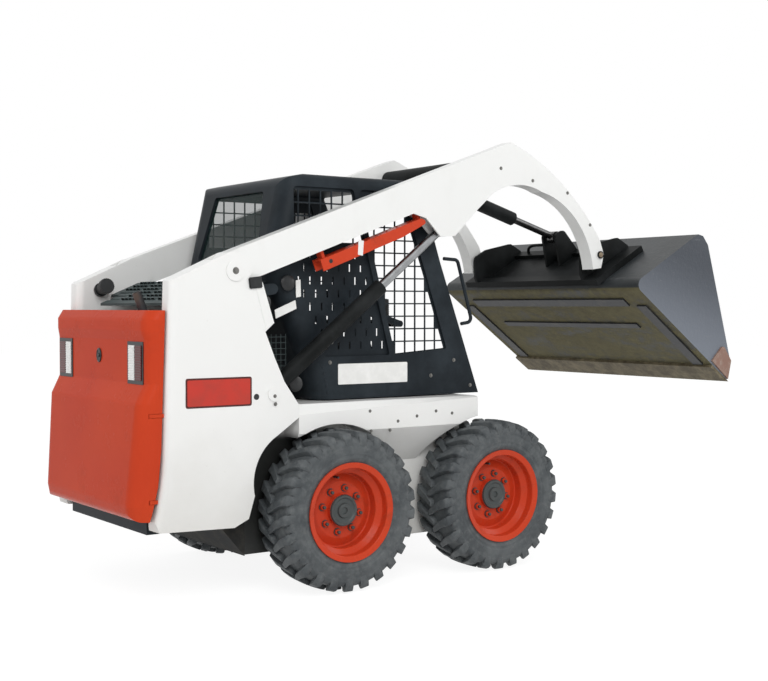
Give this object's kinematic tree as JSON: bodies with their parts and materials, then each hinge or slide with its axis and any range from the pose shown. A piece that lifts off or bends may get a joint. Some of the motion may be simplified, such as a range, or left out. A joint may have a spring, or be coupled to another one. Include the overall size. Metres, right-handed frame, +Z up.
{
  "type": "skid steer loader",
  "caption": "Compact skid steer loader with raised lift arms, dumped bucket, screened cab, hinged rear door and four drive wheels.",
  "frame": {"origin": "on the ground under the middle of the overall length and width", "axes": "+X forward to the bucket, +Y to the operator's left, +Z up"},
  "size_m": [3.4713, 1.65, 2.1589],
  "materials": {
    "tyre": "matt, dusty",
    "orange_paint": "gloss",
    "white_paint": "gloss",
    "black_paint": "satin",
    "chromed_rod": "polished",
    "worn_steel": "worn and muddy",
    "black_vinyl": "matt",
    "lamp_lens": "gloss",
    "engine_iron": "oily"
  },
  "bodies": {
    "chassis": {"main_frame": "white_paint", "engine_bay": "white_paint", "door_hinges": "white_paint", "upright_left": "white_paint", "upright_right": "white_paint", "axle_housings": "black_paint", "rear_bumper": "black_paint", "engine_block": "engine_iron", "exhaust_pipe": "black_paint", "engine_cowl": "black_paint", "fuel_cap": "black_paint"},
    "lift_arms": {"lift_arm_left": "white_paint", "lift_arm_right": "white_paint", "arm_crossmember": "white_paint", "lift_arm_support": "orange_paint"},
    "bucket": {"quick_attach": "black_paint", "bucket_shell": "worn_steel", "cutting_edge": "worn_steel", "wear_plates": "worn_steel"},
    "cab": {"cab_shell": "black_paint", "side_screen_left": "black_paint", "side_screen_right": "black_paint", "rear_screen": "black_paint", "cab_floor": "black_paint", "seat": "black_vinyl", "control_levers": "black_paint", "grab_handles": "black_paint"},
    "seat_bar": {"seat_bar": "black_paint"},
    "rear_door": {"rear_door": "orange_paint", "tail_lamps": "lamp_lens"},
    "rear_grille": {"rear_grille": "black_paint"},
    "tilt_barrel": {"tilt_barrel": "black_paint"},
    "tilt_rod": {"tilt_rod": "chromed_rod"},
    "lift_barrel_right": {"lift_barrel_right": "black_paint"},
    "lift_rod_right": {"lift_rod_right": "chromed_rod"},
    "lift_barrel_left": {"lift_barrel_left": "black_paint"},
    "lift_rod_left": {"lift_rod_left": "chromed_rod"},
    "rear_right_wheel": {"tyre_rear_right": "tyre", "rim_rear_right": "orange_paint"},
    "rear_left_wheel": {"tyre_rear_left": "tyre", "rim_rear_left": "orange_paint"},
    "front_right_wheel": {"tyre_front_right": "tyre", "rim_front_right": "orange_paint"},
    "front_left_wheel": {"tyre_front_left": "tyre", "rim_front_left": "orange_paint"}
  },
  "joints": [
    {"name": "rear_right_wheel_spin", "type": "hinge", "parent": "chassis", "child": "rear_right_wheel", "pos_m": [-0.734, -0.596, 0.375], "axis": [0, 1, 0], "continuous": true},
    {"name": "rear_left_wheel_spin", "type": "hinge", "parent": "chassis", "child": "rear_left_wheel", "pos_m": [-0.734, 0.596, 0.375], "axis": [0, 1, 0], "continuous": true},
    {"name": "front_right_wheel_spin", "type": "hinge", "parent": "chassis", "child": "front_right_wheel", "pos_m": [0.172, -0.596, 0.375], "axis": [0, 1, 0], "continuous": true},
    {"name": "front_left_wheel_spin", "type": "hinge", "parent": "chassis", "child": "front_left_wheel", "pos_m": [0.172, 0.596, 0.375], "axis": [0, 1, 0], "continuous": true},
    {"name": "lift_arm", "type": "hinge", "parent": "chassis", "child": "lift_arms", "pos_m": [-1.267, 0, 1.476], "axis": [0, -1, 0], "range_deg": [-37, 32.6]},
    {"name": "bucket_tilt", "type": "hinge", "parent": "lift_arms", "child": "bucket", "pos_m": [0.979, 0, 1.597], "axis": [0, 1, 0], "range_deg": [-100, 36]},
    {"name": "lift_barrel_right_swing", "type": "hinge", "parent": "chassis", "child": "lift_barrel_right", "pos_m": [-1.069, -0.511, 0.925], "axis": [0, -1, 0], "range_deg": [-32.62, 28.8]},
    {"name": "lift_rod_right_slide", "type": "slide", "parent": "lift_barrel_right", "child": "lift_rod_right", "axis": [0.7861, 0, 0.6181], "range_m": [-0.35553, 0.31337]},
    {"name": "lift_barrel_left_swing", "type": "hinge", "parent": "chassis", "child": "lift_barrel_left", "pos_m": [-1.069, 0.511, 0.925], "axis": [0, -1, 0], "range_deg": [-32.62, 28.8]},
    {"name": "lift_rod_left_slide", "type": "slide", "parent": "lift_barrel_left", "child": "lift_rod_left", "axis": [0.7861, 0, 0.6181], "range_m": [-0.35553, 0.31337]},
    {"name": "tilt_barrel_swing", "type": "hinge", "parent": "lift_arms", "child": "tilt_barrel", "pos_m": [0.353, 0, 1.957], "axis": [0, -1, 0], "range_deg": [-0.75, 1.2]},
    {"name": "tilt_rod_slide", "type": "slide", "parent": "tilt_barrel", "child": "tilt_rod", "axis": [0.9593, 0, -0.2823], "range_m": [-0.28898, 0.10467]},
    {"name": "cab_tilt", "type": "hinge", "parent": "chassis", "child": "cab", "pos_m": [-1, 0, 1.4], "axis": [0, -1, 0], "range_deg": [0, 45]},
    {"name": "seat_bar_swing", "type": "hinge", "parent": "cab", "child": "seat_bar", "pos_m": [-0.674, 0, 1.383], "axis": [0, -1, 0], "range_deg": [0, 75]},
    {"name": "rear_door_swing", "type": "hinge", "parent": "chassis", "child": "rear_door", "pos_m": [-1.659, -0.528, 0.85], "axis": [0, 0, -1], "range_deg": [-100, 0]},
    {"name": "rear_grille_lift", "type": "hinge", "parent": "chassis", "child": "rear_grille", "pos_m": [-1.144, 0, 1.431], "axis": [0, -1, 0], "range_deg": [-70, 0]}
  ],
  "couplings": [
    {"joint": "lift_barrel_right_swing", "follows": "lift_arm", "ratio": 0.868},
    {"joint": "lift_rod_right_slide", "follows": "lift_arm", "m_per_rad": 0.549},
    {"joint": "lift_barrel_left_swing", "follows": "lift_arm", "ratio": 0.868},
    {"joint": "lift_rod_left_slide", "follows": "lift_arm", "m_per_rad": 0.549},
    {"joint": "tilt_barrel_swing", "follows": "bucket_tilt", "ratio": -0.007},
    {"joint": "tilt_rod_slide", "follows": "bucket_tilt", "m_per_rad": 0.165}
  ]
}
